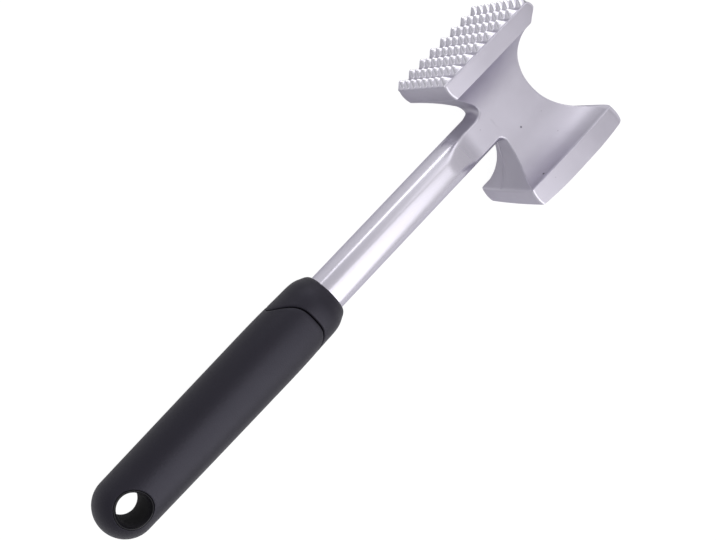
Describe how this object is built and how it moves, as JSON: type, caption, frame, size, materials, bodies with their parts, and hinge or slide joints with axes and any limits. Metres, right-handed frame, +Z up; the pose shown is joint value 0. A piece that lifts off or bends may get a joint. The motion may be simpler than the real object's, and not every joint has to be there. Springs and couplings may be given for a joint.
{
  "type": "meat mallet",
  "caption": "Long-handled meat mallet: cast aluminium head with one toothed and one smooth striking plate, round shank, soft black grip with a hanging hole.",
  "frame": {"origin": "middle of the bounding box seen from above, on the surface the mallet lies on", "axes": "mallet lying on its side: +X from the grip to the head, +Y the toothed striking side, -Y the smooth striking side, +Z up"},
  "size_m": [0.249, 0.0654, 0.0436],
  "materials": {
    "cast_aluminium": "satin die casting, polished round shank",
    "hard_black_polypropylene": "matte moulded",
    "soft_black_elastomer": "matte, slightly satin",
    "core_polypropylene": "plain moulded, hidden",
    "liner_polypropylene": "satin moulded"
  },
  "bodies": {
    "root": {"cast_head": "cast_aluminium", "front_collar": "hard_black_polypropylene", "grip_sleeve": "soft_black_elastomer", "grip_core": "core_polypropylene", "hole_liner": "liner_polypropylene"}
  },
  "joints": []
}
